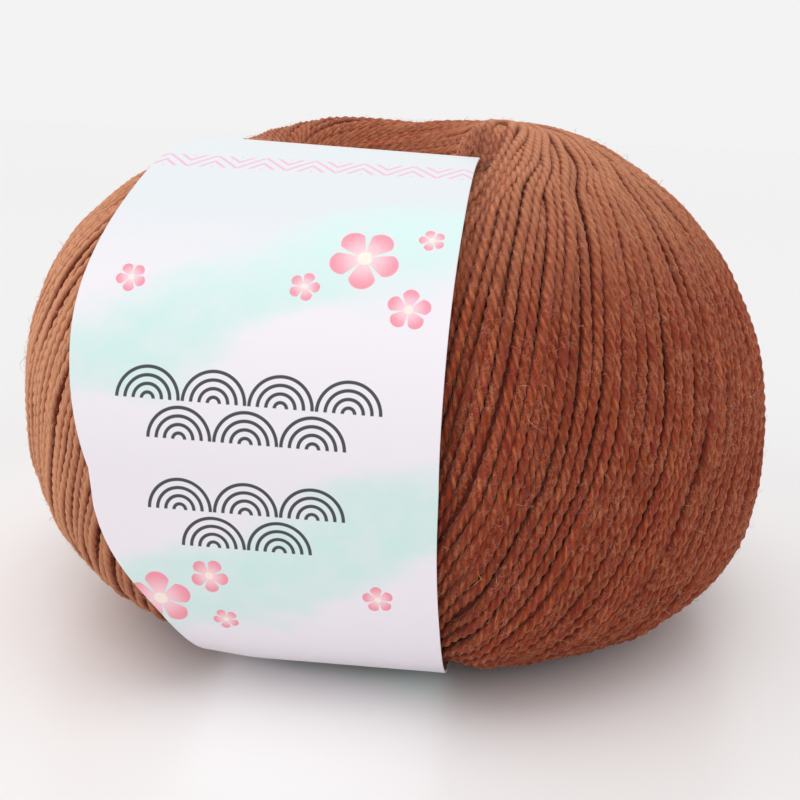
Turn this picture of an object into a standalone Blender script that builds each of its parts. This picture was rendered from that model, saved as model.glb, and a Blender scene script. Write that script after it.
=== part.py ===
"""Wound ball of wool yarn with a paper band threaded through its eye.

The ball is a doughnut: loops of yarn laid side by side round a narrow upright eye, squashed
a little by its own weight on a small flat spot. The band runs up the front of the ball, over
the crest, down through the eye and back under the front. Units are metres, +Z is up, and the
ball stands on Z = 0 with the band towards -Y.
"""

import math

import bmesh
import bpy
import numpy as np

MM = 0.001

# ---- ball: driving sizes, in millimetres -------------------------------------------------
BALL_RADIUS = 44.0
CROWN_HEIGHT = 31.7  # widest level up to the crest
BASE_DEPTH = 24.1  # widest level down to the lowest crest, before the flat spot is pressed
FLAT_LEVEL = 24.0  # widest level down to the flat spot
CREST_RADIUS = 14.4  # ring on which the crest of the doughnut stands
EYE_RADIUS = 4.2  # narrowest part of the eye
CROWN_POWER = 1.93  # superellipse power of the upper section
BASE_POWER = 2.75  # and of the lower one, squarer because the ball sags
CENTRING = (0.0, -0.6)  # moves the finished ball so that its box stands over the origin
CREST_RISE = 0.059  # how much the crest climbs towards +X for each mm
LEAN = (-0.05, 0.017, -0.15)  # sideways drift of the section with height, in ball radii
CHEEK = 1.3  # yarn pushed out beside the band's left edge
CHEEK_AZIMUTH = math.radians(-127.0)
CHEEK_SPREAD = math.radians(22.0)
DIP = 2.2  # crest lowered at the left
DIP_AZIMUTH = math.radians(175.0)
DIP_SPREAD = math.radians(32.0)

# ---- winding -----------------------------------------------------------------------------
RIDGES = 48  # bundles of turns that stand out round the ball
COLUMNS_PER_RIDGE = 3
RIDGE_HEIGHT = (-0.45, 0.35, 0.25)  # of each column of a bundle
RIDGE_WANDER = 0.35  # slow change of height from bundle to bundle
TURN_OFFSET = 11.5  # how far from the axis the turns pass the eye, to one side above and below
TURN_STRAIGHT = 0.6  # share of the turns' slant that is even; the rest is near the crests
OUTER_ROWS = (-90, -88, -84, -80, -74, -66, -54, -42, -30, -18, -6, 6, 18, 30, 42, 54, 66, 74, 80, 85)
INNER_ROWS = (90, 80, 66, 50, 32, 11, -11, -32, -50, -66, -82)

# ---- paper band --------------------------------------------------------------------------
PAPER_THICKNESS = 1.0
PAPER_GAP = 0.45  # air between band and yarn
BAND_AZIMUTH = math.radians(9.0)  # how far the band's face is turned towards -X
BAND_FRONT = 41.3  # axis to the middle of the paper, at the widest level
BAND_TOP = 29.0
BAND_BASE_POWER = 3.6
BAND_TAPER = 0.0012  # the loop is this much tighter for each mm towards +X
BAND_MIDDLE = -5.3  # where across the band its loop has its own size
TUBE_CENTRE = 19.0  # axis to the middle of the yarn that the band goes round
EYE_HALF_WIDTH = 3.0  # paper drawn together in the eye
GATHER_POWER = 8
STATION_STEP = 5  # degrees of section between two stations of the band
STRIPS_ACROSS = 4
EDGE_CLEAR = 2.2  # yarn stays pressed this far past the paper's edge
EDGE_FADE = 3.5  # and swells back over this width
EYE_FADE = 4.0
# Distance of each edge from the axis, across the band, by section angle from the lowest
# crest (-90) over the front (0) to the top crest (90).
EDGE_TABLE = (
    # (angle, left, right)
    (-90, -14.0, 10.6),
    (-55, -13.8, 11.4),
    (-25, -16.6, 11.3),
    (0, -21.8, 10.7),
    (25, -24.3, 10.5),
    (60, -22.0, 10.5),
    (90, -19.5, 10.3),
)

YARN_COLOUR = (0.36, 0.125, 0.062)
PAPER_COLOUR = (0.86, 0.85, 0.86)


def superellipse(angle, half_width, half_height, power):
    """Point of a superellipse quarter-turn measured from its widest level."""
    across = max(math.cos(angle), 0.0) ** (2.0 / power)
    up = abs(math.sin(angle)) ** (2.0 / power)
    return half_width * across, math.copysign(half_height * up, math.sin(angle))


def along_table(table, angle, column):
    """Value of one column of a table at this angle, on a smooth curve through its rows."""
    rows = np.array(table, dtype=float)
    slopes = np.gradient(rows[:, column], rows[:, 0])
    index = int(np.clip(np.searchsorted(rows[:, 0], angle, side="right") - 1, 0, len(rows) - 2))
    step = rows[index + 1, 0] - rows[index, 0]
    share = (angle - rows[index, 0]) / step
    ease = share * share * (3.0 - 2.0 * share)
    start, end = rows[index, column], rows[index + 1, column]
    leave = slopes[index] * step * share * (1.0 - share) ** 2
    arrive = slopes[index + 1] * step * share**2 * (share - 1.0)
    return start + (end - start) * ease + leave + arrive


def smooth_step(low, high, value):
    """0 below low, 1 above high and a soft rise between them."""
    share = min(max((value - low) / (high - low), 0.0), 1.0)
    return share * share * (3.0 - 2.0 * share)


def ball_section(angle_deg, inner):
    """Radius and height of the ball's section, and how much its ridges stand out there."""
    angle = math.radians(angle_deg)
    upper = angle > 0.0
    power = CROWN_POWER if upper else BASE_POWER
    height = CROWN_HEIGHT if upper else BASE_DEPTH
    half_width = CREST_RADIUS - EYE_RADIUS if inner else BALL_RADIUS - CREST_RADIUS
    across, up = superellipse(angle, half_width, height, power)
    radius = CREST_RADIUS - across if inner else CREST_RADIUS + across
    relief = smooth_step(EYE_RADIUS, CREST_RADIUS, radius) * smooth_step(-84.0, -62.0, angle_deg)
    return radius, up, 0.0 if inner and not upper else relief


def turn_angle(angle_deg, inner):
    """How far round the axis a turn has gone where the section stands at this angle."""
    if inner:
        return math.asin(TURN_OFFSET / CREST_RADIUS) * angle_deg / 90.0
    radius, up, _ = ball_section(angle_deg, inner)
    share = up / (CROWN_HEIGHT if up > 0.0 else BASE_DEPTH)
    slant = TURN_STRAIGHT * share + (1.0 - TURN_STRAIGHT) * share**3
    return math.asin(slant * TURN_OFFSET / radius)


def eye_drift(z):
    """How far the leaning section has moved towards +X at this height."""
    level = z / BALL_RADIUS
    return (LEAN[0] * level + LEAN[1] * level**2 + LEAN[2] * level**3) * BALL_RADIUS


def bump(x, y, azimuth, spread):
    """1 towards this azimuth, fading to 0 round the axis."""
    turned = math.remainder(math.atan2(y, x) - azimuth, math.tau)
    return math.exp(-((turned / spread) ** 2))


def shaped(x, y, z):
    """The even doughnut's point moved to the photographed ball's uneven form."""
    share = abs(z) / (CROWN_HEIGHT if z > 0.0 else BASE_DEPTH)
    radius = math.hypot(x, y)
    if z > 0.0:
        dip = DIP * bump(x, y, DIP_AZIMUTH, DIP_SPREAD) * smooth_step(0.0, CREST_RADIUS, radius)
        z += (CREST_RISE * x - dip) * share * share
    swell = CHEEK * bump(x, y, CHEEK_AZIMUTH, CHEEK_SPREAD) * (1.0 - share**3)
    swell *= smooth_step(CREST_RADIUS, BALL_RADIUS, radius)
    x, y = x * (1.0 + swell / radius), y * (1.0 + swell / radius)
    return x + eye_drift(z), y, z


# ---- the band's own coordinates: across it, out along its face, and up -------------------
ACROSS = np.array((math.cos(BAND_AZIMUTH), -math.sin(BAND_AZIMUTH), 0.0))
OUTWARD = np.array((-math.sin(BAND_AZIMUTH), -math.cos(BAND_AZIMUTH), 0.0))
UPWARD = np.array((0.0, 0.0, 1.0))


def band_stations():
    """Section angle, distance out, height and edges at each station round the band's loop."""
    base = FLAT_LEVEL - 0.5 * PAPER_THICKNESS
    stations = []
    for angle in range(-90, 90, STATION_STEP):
        upper = angle > 0
        power = CROWN_POWER if upper else BAND_BASE_POWER
        height = BAND_TOP if upper else base
        out, up = superellipse(math.radians(angle), BAND_FRONT - CREST_RADIUS, height, power)
        left = along_table(EDGE_TABLE, angle, 1)
        right = along_table(EDGE_TABLE, angle, 2)
        stations.append((CREST_RADIUS + out, up, left, right))
    for angle in range(90, -90, -STATION_STEP):
        upper = angle > 0
        height = BAND_TOP if upper else base
        out, up = superellipse(math.radians(angle), CREST_RADIUS, height, 2.0)
        row = EDGE_TABLE[-1] if upper else EDGE_TABLE[0]
        spread = abs(math.sin(math.radians(angle))) ** GATHER_POWER
        middle = eye_drift(up) * (1.0 - spread) + 0.5 * (row[1] + row[2]) * spread
        half = EYE_HALF_WIDTH + (0.5 * (row[2] - row[1]) - EYE_HALF_WIDTH) * spread
        stations.append((CREST_RADIUS - out, up, middle - half, middle + half))
    return np.array(stations)


STATIONS = band_stations()


def taper(across):
    """Size of the band's loop at this place across it."""
    return 1.0 - BAND_TAPER * (across - BAND_MIDDLE)


def pressed(point):
    """The yarn's point, pushed in where the band lies on it."""
    across, out = float(point @ ACROSS), float(point @ OUTWARD)
    size = taper(across)
    out_even = (out - TUBE_CENTRE) / size
    up_even = point[2] / size
    angle = math.atan2(up_even, out_even)
    angles = np.arctan2(STATIONS[:, 1], STATIONS[:, 0] - TUBE_CENTRE)
    order = np.argsort(angles)
    spans = np.hypot(STATIONS[:, 1], STATIONS[:, 0] - TUBE_CENTRE)
    reach, left, right = (
        np.interp(angle, angles[order], values[order], period=math.tau)
        for values in (spans, STATIONS[:, 2], STATIONS[:, 3])
    )
    reach -= 0.5 * PAPER_THICKNESS + PAPER_GAP
    past_edge = max(left - across, across - right) - EDGE_CLEAR
    weight = 1.0 - smooth_step(0.0, EDGE_FADE, past_edge)
    weight *= smooth_step(0.0, EYE_FADE, out)
    span = math.hypot(out_even, up_even)
    if span > reach:
        share = 1.0 + weight * (reach / span - 1.0)
        out_even, up_even = out_even * share, up_even * share
    floor = -FLAT_LEVEL + weight * (PAPER_THICKNESS + PAPER_GAP)
    up = max(up_even * size, floor)
    return across * ACROSS + (TUBE_CENTRE + out_even * size) * OUTWARD + up * UPWARD


def ridge_relief(column):
    """Height of the winding at one column, from its place in its bundle and the bundle's own."""
    bundle, place = divmod(column, COLUMNS_PER_RIDGE)
    wander = math.sin(2.4 * bundle) * math.sin(0.9 * bundle + 1.0)
    return RIDGE_HEIGHT[place] + RIDGE_WANDER * wander


def yarn_lattice():
    """Rows of points round the ball's section, each row once round the axis."""
    columns = RIDGES * COLUMNS_PER_RIDGE
    rows = [(angle, False) for angle in OUTER_ROWS] + [(angle, True) for angle in INNER_ROWS]
    lattice = []
    for angle, inner in rows:
        radius, up, relief = ball_section(angle, inner)
        turned = turn_angle(angle, inner)
        row = []
        for column in range(columns):
            azimuth = math.tau * column / columns + turned
            lift = ridge_relief(column) * relief
            slope = math.cos(math.radians(angle))
            reach = radius + lift * (-slope if inner else slope)
            level = up + lift * math.sin(math.radians(angle))
            point = shaped(reach * math.cos(azimuth), reach * math.sin(azimuth), level)
            row.append(pressed(np.array(point)))
        lattice.append(row)
    return lattice


def band_lattice():
    """Rings of points round the paper's cross-section, one at each station of its loop."""
    count = len(STATIONS)
    lattice = []
    for index in range(count):
        before, after = STATIONS[index - 1], STATIONS[(index + 1) % count]
        out, up, left, right = STATIONS[index]
        along = np.array((after[0] - before[0], after[1] - before[1]))
        along /= np.linalg.norm(along)
        normal = np.array((along[1], -along[0])) * 0.5 * PAPER_THICKNESS
        ring = []
        for side in (1.0, -1.0):
            shares = np.linspace(0.0, 1.0, STRIPS_ACROSS + 1)[:: int(side)]
            for share in shares:
                across = left + (right - left) * share
                size = taper(across)
                reach = TUBE_CENTRE + (out - TUBE_CENTRE) * size + side * normal[0]
                level = max(up * size, -FLAT_LEVEL + 0.5 * PAPER_THICKNESS) + side * normal[1]
                if level < 0.0 and abs(normal[1]) > abs(normal[0]):
                    lowest = -FLAT_LEVEL if side > 0.0 else PAPER_THICKNESS - FLAT_LEVEL
                    level = max(level, lowest)
                ring.append(across * ACROSS + reach * OUTWARD + level * UPWARD)
        lattice.append(ring)
    return lattice


def closed_lattice_mesh(name, lattice):
    """Mesh of a lattice whose rows and columns both close on themselves."""
    model = bmesh.new()
    lift = np.array((*CENTRING, FLAT_LEVEL))
    rows = [[model.verts.new((point + lift) * MM) for point in row] for row in lattice]
    for index, row in enumerate(rows):
        following = rows[(index + 1) % len(rows)]
        for column in range(len(row)):
            beside = (column + 1) % len(row)
            model.faces.new((row[column], row[beside], following[beside], following[column]))
    bmesh.ops.recalc_face_normals(model, faces=model.faces[:])
    mesh = bpy.data.meshes.new(name)
    model.to_mesh(mesh)
    model.free()
    return mesh


def material(name, colour, roughness):
    """A plain Principled material."""
    made = bpy.data.materials.new(name)
    made.use_nodes = True
    shader = made.node_tree.nodes["Principled BSDF"]
    shader.inputs["Base Color"].default_value = (*colour, 1.0)
    shader.inputs["Roughness"].default_value = roughness
    shader.inputs["Metallic"].default_value = 0.0
    made.diffuse_color = (*colour, 1.0)
    return made


def add_part(name, lattice, surface, collection):
    """One closed piece of the ball, with its material."""
    part = bpy.data.objects.new(name, closed_lattice_mesh(name, lattice))
    part.data.materials.append(surface)
    collection.objects.link(part)
    return part


def main():
    for old in list(bpy.data.objects):
        bpy.data.objects.remove(old, do_unlink=True)
    collection = bpy.data.collections.new("ball_of_yarn")
    bpy.context.scene.collection.children.link(collection)
    add_part("yarn_ball", yarn_lattice(), material("wool", YARN_COLOUR, 0.95), collection)
    add_part("paper_band", band_lattice(), material("paper", PAPER_COLOUR, 0.55), collection)


main()
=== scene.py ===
"""Looks of a wound ball of wool yarn with a paper band threaded through its eye.

The yarn is laid as separate plied turns over a buried winding, each turn following the
winding's own rule up the outside of the ball and down into the eye. A printed paper band
presses them in at the front, and loose hairs stand off the turns. Units are metres, and +Z
is up.
"""

import logging
import math
from dataclasses import dataclass, field
from enum import Enum

import bmesh
import bpy
import numpy as np
from mathutils import Matrix, Vector

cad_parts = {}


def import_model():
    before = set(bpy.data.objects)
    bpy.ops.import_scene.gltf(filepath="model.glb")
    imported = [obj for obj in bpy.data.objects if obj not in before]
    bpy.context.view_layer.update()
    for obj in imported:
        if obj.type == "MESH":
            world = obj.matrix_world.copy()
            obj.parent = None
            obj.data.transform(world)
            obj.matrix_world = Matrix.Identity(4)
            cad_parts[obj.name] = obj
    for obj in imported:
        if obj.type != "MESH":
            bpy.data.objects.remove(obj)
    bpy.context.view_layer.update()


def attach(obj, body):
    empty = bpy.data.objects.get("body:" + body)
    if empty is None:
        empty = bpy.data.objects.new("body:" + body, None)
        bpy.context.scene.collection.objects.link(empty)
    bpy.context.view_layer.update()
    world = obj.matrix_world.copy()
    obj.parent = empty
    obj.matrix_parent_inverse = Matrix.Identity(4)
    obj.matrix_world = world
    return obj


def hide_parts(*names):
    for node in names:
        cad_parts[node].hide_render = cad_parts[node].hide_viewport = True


MM = 0.001
GOLDEN_SHARE = 0.6180339887
BODY = "root"

Pair = tuple[float, float]
Colour = tuple[float, float, float, float]
Socket = bpy.types.NodeSocket

log = logging.getLogger("yarn_ball")


class Slot(Enum):
    """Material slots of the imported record."""

    WOOL = "wool"
    PAPER = "paper"


class Hold(Enum):
    """How a sheet is held."""

    STRETCHED = "stretched"


def smooth_step(low: float, high: float, value: np.ndarray) -> np.ndarray:
    """0 up to low, 1 from high on and a soft rise between them; low may be the larger."""
    share = np.clip((value - low) / (high - low), 0.0, 1.0)
    return share * share * (3.0 - 2.0 * share)


def along_table(
    table: tuple[tuple[float, ...], ...], angle: np.ndarray, column: int
) -> np.ndarray:
    """Values of one column of a table, on a smooth curve through its rows.

    Args:
        table: Rows that start with the angle they stand at, in rising order.
        angle: Angles to read the table at.
        column: Which column is read.

    Returns:
        The value at each angle.
    """
    rows = np.array(table, dtype=float)
    slopes = np.gradient(rows[:, column], rows[:, 0])
    index = np.clip(np.searchsorted(rows[:, 0], angle, side="right") - 1, 0, len(rows) - 2)
    step = rows[index + 1, 0] - rows[index, 0]
    share = (angle - rows[index, 0]) / step
    ease = share * share * (3.0 - 2.0 * share)
    start, end = rows[index, column], rows[index + 1, column]
    leave = slopes[index] * step * share * (1.0 - share) ** 2
    arrive = slopes[index + 1] * step * share**2 * (share - 1.0)
    return start + (end - start) * ease + leave + arrive


# ---- form of the ball and of the band's loop ---------------------------------------------


@dataclass(frozen=True)
class BallForm:
    """The wound ball: an even doughnut section and the uneven form it has sagged into.

    A lap angle runs round the section in degrees: 0 at the widest level outside, 90 at the
    top crest, -90 at the lowest one, and past them down and up the wall of the eye.
    """

    ball_radius: float = 44.0 * MM
    crown_height: float = 31.7 * MM
    base_depth: float = 24.1 * MM
    flat_level: float = 24.0 * MM
    crest_radius: float = 14.4 * MM
    eye_radius: float = 4.2 * MM
    crown_power: float = 1.93
    base_power: float = 2.9
    centring: Pair = (0.0, -0.6 * MM)
    crest_rise: float = 0.059  # of the distance towards +X
    lean: tuple[float, float, float] = (-0.05, 0.017, -0.15)
    # A cheek that bulges, a dip in the crown, and a rim that stands higher: each with the
    # azimuth it is at and how far it spreads round the axis.
    cheek: float = 1.3 * MM
    cheek_azimuth: float = math.radians(-127.0)
    cheek_spread: float = math.radians(22.0)
    dip: float = 2.2 * MM
    dip_azimuth: float = math.radians(175.0)
    dip_spread: float = math.radians(32.0)
    rim_rise: float = 0.85 * MM
    rim_azimuth: float = math.radians(112.0)
    rim_spread: float = math.radians(42.0)
    # How far from the axis the turns pass at the crests, and how evenly they slant towards
    # them (1 is evenly): below the widest level, and above it.
    turn_offset: Pair = (13.3 * MM, 11.5 * MM)
    turn_straight: Pair = (0.96, 1.0)
    # Radians that the turns swing round towards the top crest, and the lap it starts at.
    swirl: float = 0.8
    swirl_lap: float = 52.0
    # How far over the turns lie on the eye's wall, and the degrees of lap that it takes.
    eye_slope: float = math.radians(80.0)
    eye_ease: float = 24.0
    probe: float = 0.3  # degrees of lap, to each side, that a direction is read over
    crest_probe: float = 1.0  # degrees of lap before a crest that its slope is read over
    bend_step: float = 0.5  # degrees of lap between two readings of the eye's wall

    def section(self, lap: np.ndarray) -> tuple[np.ndarray, np.ndarray]:
        """Radius and height of the even section at each lap angle."""
        outer = np.abs(lap) <= 90.0
        angle = np.radians(np.where(outer, lap, np.sign(lap) * (180.0 - np.abs(lap))))
        power = np.where(angle > 0.0, self.crown_power, self.base_power)
        height = np.where(angle > 0.0, self.crown_height, self.base_depth)
        inner_half = self.crest_radius - self.eye_radius
        half = np.where(outer, self.ball_radius - self.crest_radius, -inner_half)
        across = half * np.maximum(np.cos(angle), 0.0) ** (2.0 / power)
        up = np.sign(angle) * height * np.abs(np.sin(angle)) ** (2.0 / power)
        return self.crest_radius + across, up

    def normal(self, lap: np.ndarray) -> tuple[np.ndarray, np.ndarray]:
        """Outward direction of the section, as its share along the radius and upwards."""
        ahead, behind = self.section(lap + self.probe), self.section(lap - self.probe)
        radial, upward = ahead[0] - behind[0], ahead[1] - behind[1]
        length = np.hypot(radial, upward)
        return upward / length, -radial / length

    def turned(self, lap: np.ndarray) -> np.ndarray:
        """How far round the axis a turn of yarn has gone at each lap angle, in radians."""
        radius, up = self.section(lap)
        share = up / np.where(up > 0.0, self.crown_height, self.base_depth)
        straight = np.where(up > 0.0, self.turn_straight[1], self.turn_straight[0])
        offset = np.where(up > 0.0, self.turn_offset[1], self.turn_offset[0])
        slant = straight * share + (1.0 - straight) * share**3
        outside = np.arcsin(np.clip(slant * offset / radius, -1.0, 1.0))
        curl = np.clip((lap - self.swirl_lap) / (90.0 - self.swirl_lap), 0.0, 1.0)
        outside = outside + self.swirl * curl**2
        crest_turn = np.arcsin(offset / self.crest_radius) + np.where(up > 0.0, self.swirl, 0.0)
        inside = crest_turn * np.sign(lap) * (180.0 - np.abs(lap)) / 90.0
        return np.where(np.abs(lap) <= 90.0, outside, inside)

    def wound(self, lap: np.ndarray) -> np.ndarray:
        """As turned, but going on round the eye's wall as laid yarn does."""
        bend = np.arange(90.0, 180.0, self.bend_step)
        crest = np.array((90.0 - self.crest_probe, 90.0))
        share = smooth_step(90.0, 90.0 + self.eye_ease, bend[1:])
        result = self.turned(lap)
        for sign in (-1.0, 1.0):
            ends = self.turned(crest * sign)
            radius, up = self.section(crest * sign)
            run = math.hypot(radius[1] - radius[0], up[1] - up[0])
            crest_slope = math.atan(self.crest_radius * abs(ends[1] - ends[0]) / run)
            slope = np.tan(crest_slope + (self.eye_slope - crest_slope) * share)
            radius, up = self.section(sign * bend)
            gained = np.cumsum(np.hypot(np.diff(radius), np.diff(up)) * slope / radius[1:])
            gained = abs(ends[1]) + np.interp(np.abs(lap), bend[1:], gained)
            result = np.where(sign * lap > 90.0, sign * gained, result)
        return result

    def eye_drift(self, level: np.ndarray) -> np.ndarray:
        """How far the leaning section has moved towards +X at each height."""
        share = level / self.ball_radius
        first, second, third = self.lean
        return (first * share + second * share**2 + third * share**3) * self.ball_radius

    def _towards(self, points: np.ndarray, azimuth: float, spread: float) -> np.ndarray:
        """1 towards this azimuth, fading to 0 round the axis."""
        turned = np.arctan2(points[..., 1], points[..., 0]) - azimuth
        turned = (turned + math.pi) % math.tau - math.pi
        return np.exp(-((turned / spread) ** 2))

    def shaped(self, points: np.ndarray) -> np.ndarray:
        """Points of the even doughnut moved to the ball's uneven form."""
        level = points[..., 2]
        share = np.abs(level) / np.where(level > 0.0, self.crown_height, self.base_depth)
        radius = np.hypot(points[..., 0], points[..., 1])
        dip = self.dip * self._towards(points, self.dip_azimuth, self.dip_spread)
        dip *= smooth_step(0.0, self.crest_radius, radius)
        rim = self.rim_rise * self._towards(points, self.rim_azimuth, self.rim_spread)
        rise = (self.crest_rise * points[..., 0] - dip + rim) * share**2
        swell = self.cheek * self._towards(points, self.cheek_azimuth, self.cheek_spread)
        swell *= 1.0 - np.minimum(share, 1.0) ** 3
        swell *= smooth_step(self.crest_radius, self.ball_radius, radius)
        moved = points.copy()
        moved[..., 2] = level + np.where(level > 0.0, rise, 0.0)
        moved[..., :2] *= (1.0 + swell / radius)[..., None]
        moved[..., 0] += self.eye_drift(moved[..., 2])
        return moved

    def lifted(self, points: np.ndarray) -> np.ndarray:
        """Points moved from the widest level's origin to the ball's place on the floor."""
        return points + np.array((*self.centring, self.flat_level))


@dataclass(frozen=True)
class BandLoop:
    """The closed loop that the paper band takes round one side of the ball."""

    form: BallForm
    thickness: float = 1.0 * MM
    gap: float = 0.45 * MM
    azimuth: float = math.radians(9.0)
    front: float = 41.3 * MM
    top: float = 29.0 * MM
    base_power: float = 3.6
    taper_rate: float = 0.0012 / MM
    middle: float = -5.3 * MM
    tube_centre: float = 19.0 * MM
    eye_half_width: float = 3.0 * MM
    gather_power: float = 8.0
    edge_clear: float = 0.7 * MM
    edge_fade: float = 3.4 * MM
    eye_fade: float = 4.0 * MM
    # How far past its cleared edge the yarn is hidden in full, and not at all.
    hidden_past: Pair = (-4.4 * MM, -3.0 * MM)
    press_step: float = 5.0  # degrees of section
    edges: tuple[tuple[float, float, float], ...] = (
        # (section angle, left and right edges' distance from the axis in millimetres)
        (-90.0, -13.4, 10.6),
        (-55.0, -12.8, 11.4),
        (-25.0, -15.4, 11.3),
        (0.0, -21.8, 10.7),
        (25.0, -24.3, 10.5),
        (60.0, -22.0, 10.5),
        (90.0, -19.5, 10.3),
    )

    @property
    def across_axis(self) -> np.ndarray:
        """Direction across the band, from its left edge to its right one."""
        return np.array((math.cos(self.azimuth), -math.sin(self.azimuth), 0.0))

    @property
    def outward_axis(self) -> np.ndarray:
        """Direction that the band's face looks in."""
        return np.array((-math.sin(self.azimuth), -math.cos(self.azimuth), 0.0))

    def stations(self, step: float) -> dict[str, np.ndarray]:
        """The loop's middle line and edges.

        Args:
            step: Degrees of section between two stations.

        Returns:
            Distance out from the axis, height, left edge, right edge, how far the paper is
            drawn together and its full breadth, at each station from the lowest crest over
            the front.
        """
        base = self.form.flat_level - 0.5 * self.thickness
        outer = np.arange(-90.0, 90.0, step)
        inner = np.arange(90.0, -90.0, -step)
        angle = np.radians(np.concatenate((outer, inner)))
        is_outer = np.arange(len(angle)) < len(outer)
        upper = angle > 0.0
        power = np.where(upper, self.form.crown_power, self.base_power)
        power = np.where(is_outer, power, 2.0)
        height = np.where(upper, self.top, base)
        crest = self.form.crest_radius
        half = np.where(is_outer, self.front - crest, -crest)
        out = crest + half * np.maximum(np.cos(angle), 0.0) ** (2.0 / power)
        up = np.sign(angle) * height * np.abs(np.sin(angle)) ** (2.0 / power)
        held = np.where(is_outer, np.degrees(angle), np.where(upper, 90.0, -90.0))
        left = along_table(self.edges, held, 1) * MM
        right = along_table(self.edges, held, 2) * MM
        spread = np.where(is_outer, 1.0, np.abs(np.sin(angle)) ** self.gather_power)
        centre = self.form.eye_drift(up) * (1.0 - spread) + 0.5 * (left + right) * spread
        reach = self.eye_half_width + (0.5 * (right - left) - self.eye_half_width) * spread
        return {
            "out": out,
            "up": up,
            "left": centre - reach,
            "right": centre + reach,
            "gathered": 1.0 - spread,
            "breadth": right - left,
        }

    def taper(self, across: np.ndarray) -> np.ndarray:
        """Size of the band's loop at each place across it."""
        return 1.0 - self.taper_rate * (across - self.middle)

    def pressed(self, points: np.ndarray, inset: np.ndarray) -> tuple[np.ndarray, np.ndarray]:
        """Yarn pushed in where the band lies on it, and flat where the ball rests.

        Args:
            points: Places of the yarn, before the ball is lifted onto the floor.
            inset: How deep each lies under the ball's surface.

        Returns:
            The moved points, and how surely each is out of sight under the band: 0 beside
            the band and close to its edges, and 1 well inside them.
        """
        across, out = points @ self.across_axis, points @ self.outward_axis
        size = self.taper(across)
        out_even = (out - self.tube_centre) / size
        up_even = points[..., 2] / size
        loop = self.stations(self.press_step)
        angles = np.arctan2(loop["up"], loop["out"] - self.tube_centre)
        spans = np.hypot(loop["up"], loop["out"] - self.tube_centre)
        order = np.argsort(angles)
        angle = np.arctan2(up_even, out_even)
        reach, left, right = (
            np.interp(angle, angles[order], values[order], period=math.tau)
            for values in (spans, loop["left"], loop["right"])
        )
        reach = reach - (0.5 * self.thickness + self.gap + inset)
        past = np.maximum(left - across, across - right) - self.edge_clear
        weight = 1.0 - smooth_step(0.0, self.edge_fade, past)
        weight = weight * smooth_step(0.0, self.eye_fade, out)
        span = np.hypot(out_even, up_even)
        share = np.where(span > reach, 1.0 + weight * (reach / span - 1.0), 1.0)
        floor = -self.form.flat_level + inset + weight * (self.thickness + self.gap)
        out_moved = self.tube_centre + out_even * share * size
        moved = across[..., None] * self.across_axis + out_moved[..., None] * self.outward_axis
        moved[..., 2] = np.maximum(up_even * share * size, floor)
        deep = 1.0 - smooth_step(*self.hidden_past, past)
        return moved, weight * deep


# ---- meshes and objects ------------------------------------------------------------------


def link_mesh(name: str, mesh: bpy.types.Mesh) -> bpy.types.Object:
    """Puts a mesh in the scene as an object at the origin."""
    made = bpy.data.objects.new(name, mesh)
    bpy.context.scene.collection.objects.link(made)
    return made


def smooth_mesh(
    name: str,
    points: np.ndarray,
    faces: list[tuple[int, ...]],
    corners: list[Pair],
) -> bpy.types.Mesh:
    """Makes a smooth mesh with a UV map.

    Args:
        name: Name of the mesh.
        points: Its points.
        faces: The points of each face.
        corners: Place on the map of each corner of each face.

    Returns:
        The mesh.
    """
    mesh = bpy.data.meshes.new(name)
    mesh.from_pydata(points.tolist(), [], faces)
    uv = mesh.uv_layers.new(name="UVMap")
    uv.data.foreach_set("uv", np.array(corners, dtype=np.float32).ravel())
    mesh.polygons.foreach_set("use_smooth", [True] * len(mesh.polygons))
    return mesh


def mark_points(mesh: bpy.types.Mesh, name: str, values: np.ndarray) -> None:
    """Keeps a number or a vector for each point of a mesh."""
    kind, key = ("FLOAT", "value") if values.ndim == 1 else ("FLOAT_VECTOR", "vector")
    layer = mesh.attributes.new(name, kind, "POINT")
    layer.data.foreach_set(key, values.astype(np.float32).ravel())


# ---- node trees --------------------------------------------------------------------------


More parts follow.
